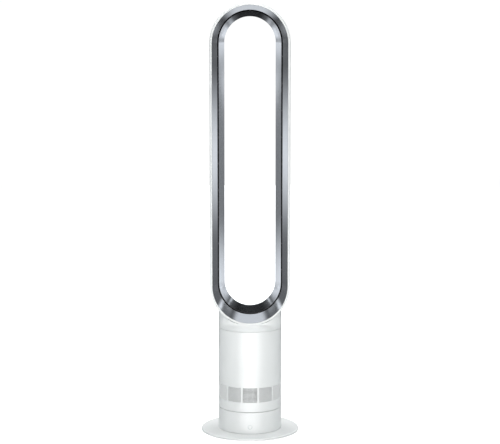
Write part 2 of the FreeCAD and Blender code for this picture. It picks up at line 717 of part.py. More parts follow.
def motor_bucket_upper():
    dome = revolved([
        (BUCKET_R, BUCKET_SPLIT), (BUCKET_R, BUCKET_Z1 - 8), (BUCKET_R - 7, BUCKET_Z1),
        (0, BUCKET_Z1), (0, BUCKET_Z1 - BUCKET_WALL), (BUCKET_R - 8, BUCKET_Z1 - BUCKET_WALL),
        (BUCKET_R - BUCKET_WALL, BUCKET_Z1 - 9), (BUCKET_R - BUCKET_WALL, BUCKET_SPLIT),
    ])
    seat = tube(BEARING_R + 2.2, BEARING_R, BEARING_HIGH_Z, BUCKET_Z1 - BUCKET_WALL + 0.1)
    stop = tube(BEARING_R + 0.5, BEARING_R - 2, BEARING_HIGH_Z + BEARING_H,
                BEARING_HIGH_Z + BEARING_H + 1.5)
    return fused(dome, seat, stop)


def motor_stator():
    """Laminated ring with six poles and the coils on them, as one wound piece."""
    ring = tube(STATOR_R, STATOR_R - 5, STATOR_Z0, STATOR_Z1)
    reach = ROTOR_R + AIR_GAP
    pole = box(reach - 1, STATOR_R - 4.5, -3, 3, STATOR_Z0, STATOR_Z1)
    shoe = box(reach - 1, reach + 2, -5, 5, STATOR_Z0, STATOR_Z1)
    coil = box(reach + 3, STATOR_R - 5.3, -5, 5, STATOR_Z0 - 1, STATOR_Z1 + 1)
    stator = fused(ring, *spun(fused(pole, shoe, coil), 6))
    return one_solid(stator.cut(cyl(reach, 0, 300)))


def ball_bearings():
    """Lower and upper bearing, each with its outer and inner race and its balls."""
    out = []
    for z in (BEARING_LOW_Z, BEARING_HIGH_Z):
        outer = tube(BEARING_R - RUN_CLEAR, BEARING_R - 1.6, z, z + BEARING_H)
        inner = tube(MOTOR_SHAFT_R + 1.6, MOTOR_SHAFT_R + RUN_CLEAR, z, z + BEARING_H)
        mid = (BEARING_R + MOTOR_SHAFT_R) / 2
        cage = tube(mid + 0.7, mid - 0.7, z + 0.6, z + BEARING_H - 0.6)
        out += [outer, inner, cage]
    return group(out)


def motor_shaft():
    shaft = cyl(MOTOR_SHAFT_R, IMPELLER_Z0 - 7, BEARING_HIGH_Z + BEARING_H)
    step = cyl(MOTOR_SHAFT_R + 0.6, IMPELLER_Z1 + FIT_CLEAR, BEARING_LOW_Z - 0.4)
    return fused(shaft, step)


def motor_rotor():
    return tube(ROTOR_R, MOTOR_SHAFT_R, STATOR_Z0 - 1, STATOR_Z1 + 1)


def impeller_hub_r(z):
    share = (z - IMPELLER_Z0) / (IMPELLER_Z1 - IMPELLER_Z0)
    return HUB_R0 + (HUB_R1 - HUB_R0) * share


def impeller():
    """Mixed-flow impeller: a conical hub with swept blades."""
    hub = revolved([
        (MOTOR_SHAFT_R, IMPELLER_Z0), (HUB_R0, IMPELLER_Z0), (HUB_R1, IMPELLER_Z1),
        (HUB_R1 - 3, IMPELLER_Z1), (HUB_R0 + 2, IMPELLER_Z0 + 12),
        (MOTOR_SHAFT_R + 4, IMPELLER_Z0 + 12), (MOTOR_SHAFT_R + 4, IMPELLER_Z1 - 2),
        (MOTOR_SHAFT_R, IMPELLER_Z1 - 2),
    ])
    steps = 6
    z0, z1 = IMPELLER_Z0 + 1, IMPELLER_Z1 - 1
    wires = []
    for i in range(steps + 1):
        z = z0 + (z1 - z0) * i / steps
        turn = math.radians(BLADE_SWEEP * (i / steps) ** 1.3)
        r0, r1 = impeller_hub_r(z) - 1.6, shroud_r(z) - BLADE_CLEAR
        along = V(math.cos(turn), math.sin(turn), 0)
        across = V(-along.y, along.x, 0) * (BLADE_T / 2)
        corners = [along * r0 - across, along * r1 - across, along * r1 + across,
                   along * r0 + across]
        corners = [c + V(0, 0, z) for c in corners]
        wires.append(Part.makePolygon(corners + corners[:1]))
    blade = Part.makeLoft(wires, True, True)
    return fused(hub, *spun(blade, BLADES))


def impeller_nut():
    nut = Part.Face(Part.makePolygon([
        V(5.5 * math.cos(math.radians(60 * i)), 5.5 * math.sin(math.radians(60 * i)),
          IMPELLER_Z0 - 4.5) for i in range(7)])).extrude(V(0, 0, 4.5 - FIT_CLEAR))
    return nut.cut(cyl(MOTOR_SHAFT_R, 0, 300))


def electronics_cover():
    """Lid on the turntable's cup that keeps the airflow off the motor board."""
    lid = revolved([
        (0, TURN_WALL_TOP + 6), (30, TURN_WALL_TOP + 4), (TURN_R - 1, TURN_WALL_TOP + 2),
        (TURN_R - 1, TURN_WALL_TOP), (TURN_R - TURN_WALL - FIT_CLEAR, TURN_WALL_TOP),
        (TURN_R - TURN_WALL - FIT_CLEAR, TURN_WALL_TOP - 3),
        (TURN_R - TURN_WALL - 2, TURN_WALL_TOP - 3), (TURN_R - TURN_WALL - 2, TURN_WALL_TOP),
        (30, TURN_WALL_TOP + 2), (0, TURN_WALL_TOP + 4),
    ])
    return lid


def motor_board():
    """Round motor control board on the turntable, open in the middle for the spindle."""
    return tube(50.0, 22.0, BOARD_Z, BOARD_Z + 1.6).cut(
        group([cyl(1.6, BOARD_Z - 1, BOARD_Z + 3, x, y) for x, y in MOTOR_BOARD_XY]))


BOARD_Z = 57.0
MOTOR_BOARD_XY = around(44.0, 4, 20.0)


def motor_board_posts():
    posts = [fused(cyl(3.0, TURN_TOP, BOARD_Z, x, y), cyl(1.5, BOARD_Z - 0.1, BOARD_Z + 3, x, y))
             for x, y in MOTOR_BOARD_XY]
    return group(posts)


def motor_board_components():
    z = BOARD_Z + 1.6
    parts = [cyl(4.0, z, z + 9, x, y) for x, y in around(34.0, 3, 70.0)]
    parts += [box(-6, 6, -38, -30, z, z + 3), box(-38, -30, 8, 18, z, z + 4)]
    return group(parts)


def body_screws():
    """Screws driven outward through the turntable's wall into the body shell."""
    out = []
    for angle in BODY_SCREW_DEG:
        start = TURN_R - TURN_WALL - 1.4 - SEAT_CLEAR
        head = Part.makeCylinder(2.3, 1.4, V(start, 0, BODY_SCREW_Z), X)
        shank = Part.makeCylinder(1.2, BODY_R - 1.2 - start, V(start, 0, BODY_SCREW_Z), X)
        one = fused(head, shank)
        one.rotate(ORIGIN, Z, angle + 30)
        out.append(one)
    return group(out)


# ---------------------------------------------------------------- body top and latch
def collar_seat():
    """Shelf that the collar stands on, with the latch's guide hanging under it."""
    z0 = SHELF_TOP - SHELF_T
    shelf = tube(BODY_IN - FIT_CLEAR, SHELF_R_IN, z0, SHELF_TOP)
    guide = box(-12, 12, GUIDE_Y - GUIDE_T, GUIDE_Y, RELEASE_Z - 8, z0 + 0.5)
    guide = guide.cut(rod_y(2.2 + SLIDE_CLEAR, 40, 80, 0, RELEASE_Z))
    return fused(shelf, guide)


def seat_gasket():
    return tube(SPIGOT_R, SHELF_R_IN + 1, SHELF_TOP, SHELF_TOP + GASKET_T)


def air_seal():
    """Flexible sleeve from the blower's flange to the collar's floor."""
    low, top, t = DUCT_TOP, NECK_BOTTOM, SEAL_WALL
    foot, bell = SHROUD_R1 + 1, SHROUD_R1 + 6
    return revolved([
        (foot, low), (bell, low), (bell, low + 2), (foot + t, low + 2), (SEAL_R + t, low + 11),
        (SEAL_R + t, top - 1.5), (SEAL_R + 4, top - 1.5), (SEAL_R + 4, top), (SEAL_R, top),
        (SEAL_R, low + 11),
    ])


def release_button():
    """Rear push button with the latch arm that hooks into the collar's spigot."""
    face = BODY_R - 0.4
    cap = rod_y(RELEASE_R, BODY_IN - 0.6, face, 0, RELEASE_Z)
    rim = [e for e in cap.Edges if abs(e.BoundBox.YMin - face) < 1e-3]
    cap = cap.makeFillet(0.6, rim)
    collar = rod_y(RELEASE_R + 2, BODY_IN - 3.0, BODY_IN - 1.0, 0, RELEASE_Z)
    collar = fused(cap, collar, rod_y(RELEASE_R - 1, BODY_IN - 2, BODY_IN, 0, RELEASE_Z))
    stem = rod_y(2.2, LATCH_Y - 1, BODY_IN - 2, 0, RELEASE_Z)
    half = CATCH_W / 2
    arm_top = CATCH_Z + CATCH_H
    arm = box(-half, half, LATCH_Y - LATCH_T, LATCH_Y, RELEASE_Z - 4, arm_top)
    tip = SPIGOT_R - SPIGOT_WALL + HOOK_BITE
    hook = box(-half, half, LATCH_Y - 0.1, tip, CATCH_Z, arm_top)
    return fused(collar, stem, arm, hook)


CATCH_Z = SPIGOT_BOTTOM + 3.0


def release_spring():
    y0, y1 = GUIDE_Y + SPRING_WIRE_R, BODY_IN - 3.0 - SPRING_WIRE_R
    return helix_spring(3.6, y0, y1, 0, RELEASE_Z, 4, SPRING_WIRE_R)


# ---------------------------------------------------------------- collar
def collar_outline(half_x, half_y, power):
    """A closed smooth curve: an ellipse when power is 2, squarer when it is more."""
    points = []
    for k in range(48):
        a = 2 * math.pi * (k + 0.5) / 48
        c, s = math.cos(a), math.sin(a)
        r = (abs(c / half_x) ** power + abs(s / half_y) ** power) ** (-1 / power)
        points.append(V(r * c, r * s, 0))
    curve = Part.BSplineCurve()
    curve.interpolate(Points=points, PeriodicFlag=True, Parameters=[float(k) for k in range(49)])
    return curve


def collar_form(top, inset=0.0):
    """The collar's solid form drawn in by an inset: round at the seam, flatter above."""
    z0, z1 = NECK_BOTTOM, NECK_BOTTOM + 1.2
    z2 = z1 + COLLAR_RISE
    deep = inset * 1.35
    low = collar_outline(BODY_R - inset, BODY_R - deep, 2.0)
    high = collar_outline(BODY_R - inset, COLLAR_HALF_Y - deep, COLLAR_SQUARE)
    levels = [(low, z1), (low, z1 + COLLAR_RISE / 3), (high, z2 - COLLAR_RISE / 3), (high, z2)]
    poles = [[curve.getPoles()[k] + Z * z for curve, z in levels] for k in range(low.NbPoles)]
    turn = Part.BSplineSurface()
    turn.buildFromPolesMultsKnots(poles, low.getMultiplicities(), [4, 4], low.getKnots(),
                                  [0.0, 1.0], True, False, 3, 3)
    edges = [curve.toShape().translated(Z * z) for curve, z in ((low, z0), (high, z2))]
    lids = [Part.Face(Part.Wire(edge)) for edge in (edges[0], edges[1].translated(Z * (top - z2)))]
    shell = Part.makeShell(lids + [edges[0].extrude(Z * (z1 - z0)), turn.toShape(),
                                   edges[1].extrude(Z * (top - z2))])
    shell.sewShape()
    solid = Part.makeSolid(shell)
    return solid if solid.Volume > 0 else solid.reversed()


def neck_collar():
    """Collar between the body and the loop: round below, shaped to the loop's bend above."""
    top = ARC_LOW - 40
    room = box(-200, 200, -200, 200, NECK_BOTTOM + NECK_WALL, top + 5)
    outer, inner = collar_form(top), collar_form(top + 5, NECK_WALL).common(room)
    spigot = tube(SPIGOT_R, SPIGOT_R - SPIGOT_WALL, SPIGOT_BOTTOM, NECK_BOTTOM + 1)
    collar = fused(outer.cut(inner), spigot)
    window = box(-CATCH_W / 2 - 0.5, CATCH_W / 2 + 0.5, 55, BODY_R,
                 CATCH_Z - 0.4, CATCH_Z + CATCH_H + 0.4)
    holes = [cyl(SCREW_HOLE_R, 200, 300, x, y) for x, y in COLLAR_SCREW_XY]
    before = rod_y(RIM_R + RIM_LAP + SEAM_GAP, FRONT - 9, FRONT + 1, 0, ARC_LOW)
    behind = rod_y(REAR_R + REAR_LAP, 10, REAR + 9, 0, ARC_LOW)
    return cut_all(collar, cyl(SEAL_R, 200, 300), bend_solid(shell_outline(SEAM_GAP)),
                   before, behind, window, *holes)


COLLAR_SCREW_XY = [(x * 0.62 * BODY_R, y * 0.48 * BODY_R) for x in (-1, 1) for y in (-1, 1)]


def collar_screws():
    return group([screw(x, y, NECK_BOTTOM - 1.8, 14.0) for x, y in COLLAR_SCREW_XY])


# ---------------------------------------------------------------- loop
def shell_curve():
    """Outer line of the shell, from the front rim's inner edge to the rear seam, (r, y)."""
    return [
        V(RIM_R, FRONT + 1.6, 0),
        [V(RIM_R, FRONT + 0.6, 0), V(RIM_R + 1.2, FRONT, 0), V(RIM_R + 2.8, FRONT, 0)],
        [V(LOOP_R - 1.4, FRONT, 0), V(LOOP_R, FRONT + 2.6, 0), V(LOOP_R, FRONT + 6.5, 0)],
        V(LOOP_R, SHELL_BEND_Y, 0),
        [V(LOOP_R, SHELL_BEND_Y + 28, 0), V(REAR_R + 13, REAR, 0), V(REAR_R, REAR, 0)],
    ]


SHELL_BEND_Y = 8.0


def shell_outline(grow):
    """The shell's outer line closed down to the bend's axis, for cutting what meets it."""
    moved = []
    for item in shell_curve():
        if isinstance(item, list):
            moved.append([p + V(grow, 0, 0) for p in item])
        else:
            moved.append(item + V(grow, 0, 0))
    return [V(0, FRONT, 0), V(RIM_R + RIM_LAP, FRONT, 0)] + moved[2:] + [V(0, REAR, 0)]


def loop_shell():
    """White outer skin of the loop with its front rim, and the bosses for the collar."""
    w = SHELL_WALL
    path = shell_curve() + [
        V(REAR_R, REAR - w, 0),
        [V(REAR_R + 11.6, REAR - w, 0), V(LOOP_R - w, SHELL_BEND_Y + 26.5, 0),
         V(LOOP_R - w, SHELL_BEND_Y, 0)],
        V(LOOP_R - w, FRONT + 7, 0),
        [V(LOOP_R - w, FRONT + 5, 0), V(RIM_R + 2.6, FRONT + 3.3, 0), V(RIM_R, FRONT + 3.3, 0)],
    ]
    shell = loop_ring(path)
    shell = shell.cut(duct_prism(LOOP_BOTTOM - 5, LOOP_BOTTOM + 26))
    skin = bend_solid(shell_outline(-w / 2))
    bosses = [cyl(BOSS_R, NECK_BOTTOM + NECK_WALL + FIT_CLEAR, ARC_LOW, x, y).cut(skin)
              for x, y in COLLAR_SCREW_XY]
    shell = fused(shell, *bosses)
    holes = [cyl(SCREW_PILOT_R, NECK_BOTTOM, NECK_BOTTOM + 16, x, y) for x, y in COLLAR_SCREW_XY]
    return cut_all(shell, *holes)


def front_diffuser():
    """Silver front ring, from the white rim back to the air slot."""
    r0, y0 = RIM_R - FIT_CLEAR, FRONT + 1.8
    t = RING_WALL
    path = [
        V(r0, y0, 0), V(SLOT_R, SLOT_Y, 0), V(SLOT_R + 1.0, SLOT_Y, 0), V(SLOT_R + t + 2.0, SLOT_Y - 10, 0),
        V(RIM_R + 1.3, FRONT + 7, 0), V(RIM_R + 1.3, FRONT + 3.8, 0), V(r0, FRONT + 3.8, 0),
    ]
    return loop_ring(path)


def rear_band():
    """Silver inner band: its front lip forms the slot, its rear turns out to the shell."""
    t = RING_WALL
    lip_y = SLOT_Y + 1.0
    r_back = REAR_R - 0.15
    path = [
        V(LIP_R, lip_y, 0), V(THROAT_R, THROAT_Y, 0),
        [V(THROAT_R - 1.4, THROAT_Y + 5, 0), V(THROAT_R + 3, REAR, 0), V(r_back, REAR, 0)],
        V(r_back, REAR - 3.3, 0), V(r_back + 3.8, REAR - 3.3, 0), V(r_back + 3.8, REAR - 5, 0),
        V(REAR_R - 6, REAR - 5, 0),
        [V(THROAT_R + 5, REAR - 5, 0), V(THROAT_R + t - 0.6, THROAT_Y + 5, 0),
         V(THROAT_R + t, THROAT_Y, 0)],
        V(LIP_R + LIP_T, lip_y + 2, 0), V(LIP_R + LIP_T, lip_y, 0),
    ]
    return loop_ring(path)


def slot_spacers():
    """Small ribs that hold the slot open all the way round the loop."""
    r0, r1 = LIP_R + LIP_T + 0.05, SLOT_R + 2.6
    rib = box(r0, r1, SLOT_Y + 0.1, SLOT_Y + 7, -0.8, 0.8)
    ribs = []
    straight = ARC_HIGH - ARC_LOW
    count = int(straight / SPACER_PITCH)
    for i in range(count + 1):
        one = rib.translated(V(0, 0, ARC_LOW + straight * (i + 0.5) / (count + 1)))
        ribs += [one, one.mirror(ORIGIN, X)]
    for centre, way in ((ARC_LOW, 1), (ARC_HIGH, -1)):
        for angle in (18, 54, 90, 126, 162):
            one = rib.translated(V(0, 0, centre))
            one.rotate(V(0, 0, centre), Y, way * angle)
            ribs.append(one)
    return group(ribs)


NODES = {
    "base_plate": base_plate,
    "ballast_ring": ballast_ring,
    "foot_ring": foot_ring,
    "base_screws": base_screws,
    "base_housing": base_housing,
    "light_ring": light_ring,
    "power_button": power_button,
    "button_spring": button_spring,
    "button_switch": button_switch,
    "control_board": control_board,
    "display_module": display_module,
    "ir_receiver": ir_receiver,
    "cable_gland": cable_gland,
    "power_board": power_board,
    "board_posts": board_posts,
    "board_components": board_components,
    "bearing_plate": bearing_plate,
    "deck_screws": deck_screws,
    "pivot_spindle": pivot_spindle,
    "spindle_screws": spindle_screws,
    "spindle_clip": spindle_clip,
    "glide_ring": glide_ring,
    "oscillation_motor": oscillation_motor,
    "oscillation_motor_screws": oscillation_motor_screws,
    "drive_pinion": drive_pinion,
    "ring_gear": ring_gear,
    "turntable": turntable,
    "body_screws": body_screws,
    "motor_board": motor_board,
    "motor_board_posts": motor_board_posts,
    "motor_board_components": motor_board_components,
    "electronics_cover": electronics_cover,
    "body_shell": body_shell,
    "intake_grilles": intake_grilles,
    "rubber_mount": rubber_mount,
    "impeller_housing": impeller_housing,
    "motor_bucket_lower": motor_bucket_lower,
    "motor_bucket_upper": motor_bucket_upper,
    "motor_stator": motor_stator,
    "ball_bearings": ball_bearings,
    "motor_shaft": motor_shaft,
    "motor_rotor": motor_rotor,
    "impeller": impeller,
    "impeller_nut": impeller_nut,
    "air_seal": air_seal,
    "collar_seat": collar_seat,
    "seat_gasket": seat_gasket,
    "release_button": release_button,
    "release_spring": release_spring,
    "neck_collar": neck_collar,
    "collar_screws": collar_screws,
    "loop_shell": loop_shell,
    "front_diffuser": front_diffuser,
    "rear_band": rear_band,
    "slot_spacers": slot_spacers,
}


def main():
    os.makedirs("parts", exist_ok=True)
    for name, make in NODES.items():
        shape = make()
        if not shape.isValid() or not shape.Solids:
            raise ValueError(name + " is not a valid solid")
        if len(shape.Solids) == 1:
            shape = shape.Solids[0]
        shape.exportStep("parts/" + name + ".step")
        print(name, len(shape.Solids), round(shape.Volume / 1000, 2), "cm3")


if __name__ == "__main__":
    main()
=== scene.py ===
"""Looks for the bladeless tower fan: materials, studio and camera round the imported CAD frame."""
import json
import math

import bpy
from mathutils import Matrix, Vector

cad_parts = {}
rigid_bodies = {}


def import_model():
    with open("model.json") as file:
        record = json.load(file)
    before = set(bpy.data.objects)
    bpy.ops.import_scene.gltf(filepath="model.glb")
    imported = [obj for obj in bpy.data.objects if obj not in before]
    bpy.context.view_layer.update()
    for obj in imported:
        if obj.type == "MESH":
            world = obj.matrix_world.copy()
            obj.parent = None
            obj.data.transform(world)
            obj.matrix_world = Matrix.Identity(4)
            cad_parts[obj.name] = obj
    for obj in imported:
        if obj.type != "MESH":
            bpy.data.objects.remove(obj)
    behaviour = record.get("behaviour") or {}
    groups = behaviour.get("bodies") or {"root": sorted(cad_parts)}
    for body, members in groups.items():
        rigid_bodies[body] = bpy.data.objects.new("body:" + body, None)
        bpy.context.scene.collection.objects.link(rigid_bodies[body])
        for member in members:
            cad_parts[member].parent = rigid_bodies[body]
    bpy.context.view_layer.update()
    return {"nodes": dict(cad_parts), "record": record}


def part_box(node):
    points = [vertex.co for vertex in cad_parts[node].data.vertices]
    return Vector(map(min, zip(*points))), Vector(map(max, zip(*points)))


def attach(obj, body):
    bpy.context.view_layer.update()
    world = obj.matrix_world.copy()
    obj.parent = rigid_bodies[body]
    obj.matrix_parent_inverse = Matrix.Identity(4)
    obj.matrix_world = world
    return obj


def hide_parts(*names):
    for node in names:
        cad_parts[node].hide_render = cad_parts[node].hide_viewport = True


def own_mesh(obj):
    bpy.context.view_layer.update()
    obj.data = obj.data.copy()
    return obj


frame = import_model()
NODES = frame["nodes"]

# ---------------------------------------------------------------- sizes, in metres
CAMERA_DISTANCE = 3.832      # in front of the fan's axis
CAMERA_HEIGHT = 1.031
CAMERA_PITCH = 0.1386        # radians, looking down
FOCAL_MM = 119.15            # on a 36 mm wide sensor
FLOOR_RADIUS = 5.0
FLOOR_DROP = 0.0004          # keeps the floor just under the rubber foot

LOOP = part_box("loop_shell")
LOOP_RADIUS = (LOOP[1][0] - LOOP[0][0]) / 2
BEND_LOW, BEND_HIGH = LOOP[0][2] + LOOP_RADIUS, LOOP[1][2] - LOOP_RADIUS   # axes of the bends
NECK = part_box("body_shell")[1][2]
BODY_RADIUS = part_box("body_shell")[1][0]
PLATE_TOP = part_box("base_plate")[1][2]

# ---------------------------------------------------------------- light levels and places
BACKDROP = 1.02
MIRRORED = 0.6               # the room as gloss reflects it
FILL = 0.34
SIDE_FALL = 0.5              # share of the fill lost towards either side
FILL_TINT = (0.84, 1.0, 1.0, 1.0)
FLOOR_GLOW = 0.92
FLOOR_BOUNCE = 0.02
FRONT_CARD = 5.6
KEY_POWER = 58.0
KEY_PLACE, KEY_AIM, KEY_SIZE = (0, -3.2, 2.1), (0, 0, 0.4), (0.9, 1.6)
KEY_TINT = (1.0, 0.975, 0.97)
TOP_POWER = 560.0
TOP_PLACE, TOP_AIM, TOP_SIZE = (0, 1.5, 7.9), (0, 0, 0), (3.7, 3.7)
REFLECTOR_Y = 0.90           # plane behind the fan that its silver bands mirror
REFLECTOR_HALF_W = 0.95
REFLECTOR_H = 1.6
FRONT_CARD_Y = -1.6          # plane of the card in front
FRONT_CARD_HALF_W = 2.2
FRONT_CARD_Z = (-1.0, 0.8)
FRONT_GLOW_AT = (0.0, -0.1)  # middle and reach of its soft light
FRONT_GLOW_REACH = (2.2, 0.9, 0.9)

# ---------------------------------------------------------------- painted shade: faces and lines darkened as if in shadow
OUTWARD = 0.01               # how far outward a silver face looks before it gets painted shade
INTO_LOOP = -0.07            # and how far inward a white face looks, in the loop
INTO_BODY = -0.03            # and in the body
LOOP_INSIDE_Y = (-0.050, 0.053)
BODY_INSIDE_LOW = 0.06
LIP_FACING = -0.8            # the rear band's lip looks straight forward; it gets painted shade too
COLLAR_BASE = 0.012          # the loop's faces start this far above the neck seam
PLATE_SHADOW_HEIGHT = 0.0004         # painted shadow line along the seam where the body meets its plate
PLATE_SHADOW_REACH = 0.001
# near-black colour of the painted shade
PAINTED_SHADE_TONE = (0.012, 0.012, 0.013, 1.0)


# ---------------------------------------------------------------- node helpers
class Tree:
    """Short calls for building a node tree."""

    def __init__(self, owner):
        owner.use_nodes = True
        self.tree = owner.node_tree
        self.tree.nodes.clear()

    def add(self, kind, settings=None, **inputs):
        node = self.tree.nodes.new(kind)
        for key, value in (settings or {}).items():
            setattr(node, key, value)
        for key, value in inputs.items():
            self.set(node, key.replace("_", " "), value)
        return node

    def set(self, node, name, value):
        socket = node.inputs[int(name)] if name.isdigit() else node.inputs[name]
        if isinstance(value, bpy.types.NodeSocket):
            self.tree.links.new(value, socket)
        else:
            socket.default_value = value

    def math(self, operation, a, b=0.0):
        node = self.add("ShaderNodeMath", {"operation": operation})
        self.set(node, "0", a)
        self.set(node, "1", b)
        return node.outputs[0]

    def ramp(self, fac, stops):
        node = self.add("ShaderNodeValToRGB", Fac=fac)
        elements = node.color_ramp.elements
        while len(elements) > 1:
            elements.remove(elements[-1])
        elements[0].position = stops[0][0]
        for position, _ in stops[1:]:
            elements.new(position)
        for element, (_, value) in zip(elements, stops):
            element.color = value if len(value) == 4 else (*value, 1.0)
        return node.outputs["Color"]

    def noise(self, coords, scale, detail=2.0, roughness=0.5):
        node = self.add("ShaderNodeTexNoise", Vector=coords, Scale=scale, Detail=detail,
                        Roughness=roughness)
        return node.outputs["Fac"]


def grey(v):
    return (v, v, v)


def within(t, value, low, high):
    """1 where value is between low and high."""
    return t.math("MULTIPLY", t.math("GREATER_THAN", value, low), t.math("LESS_THAN", value, high))


def painted_shade_faces(t, outward):
    """Painted shade: 1 on faces that look into the loop's or the body's air space, and on two dark
    lines painted as shadow.

    outward is for the silver bands, whose shaded faces look away from the loop's axis and whose
    lip looks forward. The white skins' shaded faces look inward; their painted shadow line is at
    the plate.
    """
    source = t.add("ShaderNodeTexCoord").outputs
    x, y, z = t.add("ShaderNodeSeparateXYZ", Vector=source["Object"]).outputs
    nx, ny, nz = t.add("ShaderNodeSeparateXYZ", Vector=source["Normal"]).outputs
    rise = t.math("ADD", t.math("MINIMUM", t.math("SUBTRACT", z, BEND_LOW), 0.0),
                  t.math("MAXIMUM", t.math("SUBTRACT", z, BEND_HIGH), 0.0))
    sideways = t.math("MULTIPLY", nx, x)
    away = t.math("ADD", sideways, t.math("MULTIPLY", nz, rise))
    # painted shade on silver faces looking away from the loop's axis and on the forward-facing lip
    if outward:
        return t.math("MAXIMUM", t.math("GREATER_THAN", away, OUTWARD),
                      t.math("LESS_THAN", ny, LIP_FACING))
    # painted shade on white faces that look into the loop
    loop = t.math("MULTIPLY", t.math("LESS_THAN", away, INTO_LOOP), within(t, y, *LOOP_INSIDE_Y))
    loop = t.math("MULTIPLY", loop, t.math("GREATER_THAN", z, NECK + COLLAR_BASE))
    # painted shade on white faces that look into the body
    around = t.math("ADD", sideways, t.math("MULTIPLY", ny, y))
    body = t.math("MULTIPLY", t.math("LESS_THAN", around, INTO_BODY),
                  within(t, z, BODY_INSIDE_LOW, NECK))
    # painted shadow line along the seam where the body meets its plate
    radius = t.math("SQRT", t.math("ADD", t.math("MULTIPLY", x, x), t.math("MULTIPLY", y, y)))
    foot = t.math("MULTIPLY",
                  within(t, radius, BODY_RADIUS - PLATE_SHADOW_REACH, BODY_RADIUS + PLATE_SHADOW_REACH),
                  within(t, z, PLATE_TOP, PLATE_TOP + PLATE_SHADOW_HEIGHT))
    return t.math("MAXIMUM", t.math("MAXIMUM", loop, body), foot)


def moulded(name, low, high, rough, bump=0.04, grain=900.0, coat=0.0, coat_rough=0.1,
            metallic=0.0, painted_shade_side=None):
    """Moulded or painted surface: faint tone drift, varied gloss, a fine skin texture and, where
    asked, painted shade on faces and lines in shadow.
    """
    material = bpy.data.materials.new(name)
    t = Tree(material)
    coords = t.add("ShaderNodeTexCoord").outputs["Object"]
    drift = t.noise(coords, 9.0, 3.0)
    colour = t.ramp(drift, [(0.3, low), (0.7, high)])
    # painted shade: faces inside the loop and body, the silver lip and a line at the plate get a
    # near-black tone
    if painted_shade_side:
        shade_mask = painted_shade_faces(t, painted_shade_side == "outward")
        shaded = t.add("ShaderNodeMix", {"data_type": "RGBA"})
        for socket, value in (("0", shade_mask), ("6", colour), ("7", PAINTED_SHADE_TONE)):
            t.set(shaded, socket, value)
        colour = shaded.outputs[2]
    cloud = t.noise(coords, 60.0, 4.0)
    gloss = t.ramp(cloud, [(0.25, grey(rough[0])), (0.75, grey(rough[1]))])
    skin = t.noise(coords, grain, 2.0, 0.6)
    bumped = t.add("ShaderNodeBump", Strength=bump, Distance=0.0002, Height=skin)
    shader = t.add("ShaderNodeBsdfPrincipled", Base_Color=colour, Roughness=gloss,
                   Normal=bumped.outputs[0], Metallic=metallic, IOR=1.5)
    shader.inputs["Coat Weight"].default_value = coat
    shader.inputs["Coat Roughness"].default_value = coat_rough
    out = t.add("ShaderNodeOutputMaterial")
    t.set(out, "Surface", shader.outputs[0])
    return material


MATERIALS = {
    "white_plastic": moulded("white_plastic", (0.875, 0.88, 0.88), (0.905, 0.91, 0.91),
                             (0.30, 0.38), 0.05, 1400.0, coat=0.35, coat_rough=0.12,
                             painted_shade_side="inward"),
    "silver_plastic": moulded("silver_plastic", (0.80, 0.82, 0.85), (0.82, 0.835, 0.865),
                              (0.085, 0.105), 0.004, 2600.0, metallic=1.0,
                              painted_shade_side="outward"),
    "dark_plastic": moulded("dark_plastic", grey(0.012), grey(0.02), (0.4, 0.55)),
    "grey_plastic": moulded("grey_plastic", grey(0.13), grey(0.17), (0.4, 0.5)),
    "acetal": moulded("acetal", (0.74, 0.72, 0.66), (0.80, 0.78, 0.72), (0.35, 0.45)),
    "nylon": moulded("nylon", (0.72, 0.70, 0.63), (0.78, 0.76, 0.70), (0.4, 0.5)),
    "clear_plastic": moulded("clear_plastic", (0.74, 0.77, 0.78), (0.80, 0.83, 0.84),
                             (0.2, 0.26), coat=0.5),
    "rubber": moulded("rubber", grey(0.018), grey(0.03), (0.7, 0.85), 0.3, 2000.0),
    "steel": moulded("steel", (0.50, 0.51, 0.53), (0.60, 0.61, 0.62), (0.25, 0.4),
                     metallic=1.0),
    "circuit_board": moulded("circuit_board", (0.02, 0.13, 0.05), (0.03, 0.17, 0.07),
                             (0.3, 0.4)),
    "components": moulded("components", grey(0.02), grey(0.035), (0.35, 0.5)),
}


def dress_cad():
    for part in frame["record"]["subparts"]:
        node = NODES[part["node"]]
        material = MATERIALS[part["material_slot"]]
        if not node.material_slots:
            node.data.materials.append(material)
        for slot in node.material_slots:
            slot.material = material


def live_springs():
    """Each return spring as a separate piece with its own mesh copy, held by the joint's parent
    body at its fixed end.
    """
    for joint in frame["record"]["behaviour"]["joints"]:
        for spring in joint.get("deforming_nodes", []):
            node = spring["node"]
            piece = bpy.data.objects.new(node + "_coil", NODES[node].data.copy())
            bpy.context.scene.collection.objects.link(piece)
            piece.matrix_world = NODES[node].matrix_world
            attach(piece, joint["parent"])
            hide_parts(node)
            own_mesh(piece)


dress_cad()
live_springs()


